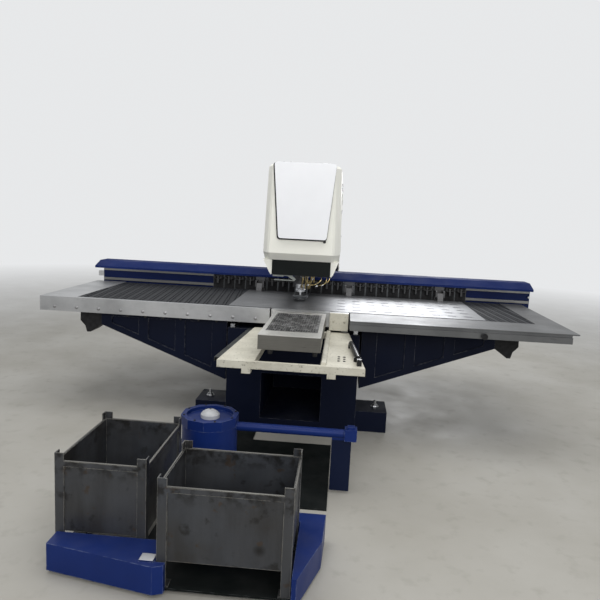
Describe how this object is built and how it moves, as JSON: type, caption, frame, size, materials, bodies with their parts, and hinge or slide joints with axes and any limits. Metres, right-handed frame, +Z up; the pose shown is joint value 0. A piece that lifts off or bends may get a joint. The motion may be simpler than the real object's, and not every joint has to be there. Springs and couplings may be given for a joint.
{
  "type": "cnc punching machine",
  "caption": "Sheet-metal punching machine with a C-frame, one punching head, brush table, tool rail with sheet clamps, parts flap and a carousel of steel bins.",
  "frame": {"origin": "floor point under the tool axis, on the underside of the machine base", "axes": "+X to the right along the tool rail, +Y from the operator to the rear column, +Z up"},
  "size_m": [4.23, 5.212, 2.099],
  "materials": {
    "frame_blue": "satin",
    "blue_paint": "satin",
    "cream_paint": "satin",
    "door_paint": "satin",
    "cast_cream": "matte",
    "brushed_metal": "brushed",
    "sheet_metal": "bright rolled",
    "aluminium": "anodised",
    "brush": "matte",
    "dark_plastic": "matte",
    "dark_panel": "satin",
    "tool_steel": "ground",
    "dark_steel": "oiled",
    "bin_steel": "worn",
    "brass": "satin",
    "lamp_white": "gloss",
    "rubber": "matte"
  },
  "bodies": {
    "machine": {"c_frame": "frame_blue", "power_inlet": "dark_steel", "y_guide_rails": "tool_steel", "fixed_table": "aluminium", "table_block": "cream_paint", "die_seat": "dark_steel", "head_cover": "cream_paint", "front_panel": "dark_panel", "head_cheeks": "cream_paint", "work_lamp": "lamp_white", "oil_pipes": "brass", "ram_guide": "dark_steel", "ram_drive": "dark_steel", "door_hinges": "tool_steel", "chute_plate": "cast_cream", "chute_arms": "frame_blue", "chute_channel": "dark_steel", "flap_cylinder": "aluminium", "flap_hinge": "dark_steel", "floor_plate": "dark_steel", "hub_spindle": "tool_steel"},
    "lower_index": {"die_holder": "tool_steel", "die": "tool_steel"},
    "ram_body": {"ram": "tool_steel"},
    "upper_index": {"tool_holder": "tool_steel", "punch": "tool_steel"},
    "presser": {"down_holder": "dark_steel"},
    "door": {"head_door": "door_paint"},
    "y_carriage": {"left_wing": "brushed_metal", "right_wing": "brushed_metal", "left_brushes": "brush", "right_brushes": "brush", "left_apron": "brushed_metal", "right_profile": "aluminium", "profile_knob": "dark_plastic", "left_console": "frame_blue", "right_console": "frame_blue", "console_end_blocks": "rubber", "y_guide_blocks": "dark_steel", "x_beam": "blue_paint", "beam_hood": "blue_paint", "x_guide_rails": "tool_steel", "beam_end_fittings": "aluminium"},
    "x_carriage": {"x_saddle": "dark_steel", "tool_cassettes": "dark_plastic", "station_tools": "tool_steel", "clamp_bodies": "brushed_metal", "sheet": "sheet_metal"},
    "jaw_1": {"clamp_jaw_1": "tool_steel"},
    "jaw_2": {"clamp_jaw_2": "tool_steel"},
    "jaw_3": {"clamp_jaw_3": "tool_steel"},
    "flap": {"flap_tray": "brushed_metal", "flap_brush": "brush"},
    "carousel": {"hub_drum": "blue_paint", "hub_cap": "lamp_white", "carousel_frame": "blue_paint", "carousel_arm": "blue_paint", "skirts": "blue_paint", "left_bin": "bin_steel", "front_bin": "bin_steel"}
  },
  "joints": [
    {"name": "y_travel", "type": "slide", "parent": "machine", "child": "y_carriage", "axis": [0, 1, 0], "range_m": [-0.45, 0.8]},
    {"name": "x_travel", "type": "slide", "parent": "y_carriage", "child": "x_carriage", "axis": [1, 0, 0], "range_m": [-1.6, 0.9]},
    {"name": "clamp_1", "type": "hinge", "parent": "x_carriage", "child": "jaw_1", "pos_m": [-0.424, 0.472, 1.008], "axis": [1, 0, 0], "range_deg": [-25, 0]},
    {"name": "clamp_2", "type": "hinge", "parent": "x_carriage", "child": "jaw_2", "pos_m": [0.424, 0.472, 1.008], "axis": [1, 0, 0], "range_deg": [-25, 0]},
    {"name": "clamp_3", "type": "hinge", "parent": "x_carriage", "child": "jaw_3", "pos_m": [1.272, 0.472, 1.008], "axis": [1, 0, 0], "range_deg": [-25, 0]},
    {"name": "ram_stroke", "type": "slide", "parent": "machine", "child": "ram_body", "axis": [0, 0, -1], "range_m": [0, 0.028]},
    {"name": "punch_rotation", "type": "hinge", "parent": "ram_body", "child": "upper_index", "pos_m": [0, 0, 1.05], "axis": [0, 0, 1], "continuous": true},
    {"name": "die_rotation", "type": "hinge", "parent": "machine", "child": "lower_index", "pos_m": [0, 0, 0.9], "axis": [0, 0, 1], "continuous": true},
    {"name": "presser_stroke", "type": "slide", "parent": "machine", "child": "presser", "axis": [0, 0, -1], "range_m": [0, 0.0155]},
    {"name": "door_hinge", "type": "hinge", "parent": "machine", "child": "door", "pos_m": [0.018, -0.296, 2.092], "axis": [-1, 0, 0], "range_deg": [0, 85]},
    {"name": "flap_tilt", "type": "hinge", "parent": "machine", "child": "flap", "pos_m": [0.05, -0.654, 0.889], "axis": [1, 0, 0], "range_deg": [0, 18]},
    {"name": "carousel_turn", "type": "hinge", "parent": "machine", "child": "carousel", "pos_m": [-0.406, -1.64, 0.2], "axis": [0, 0, 1], "range_deg": [-45, 45]}
  ],
  "couplings": [
    {"joint": "die_rotation", "follows": "punch_rotation", "ratio": 1}
  ]
}
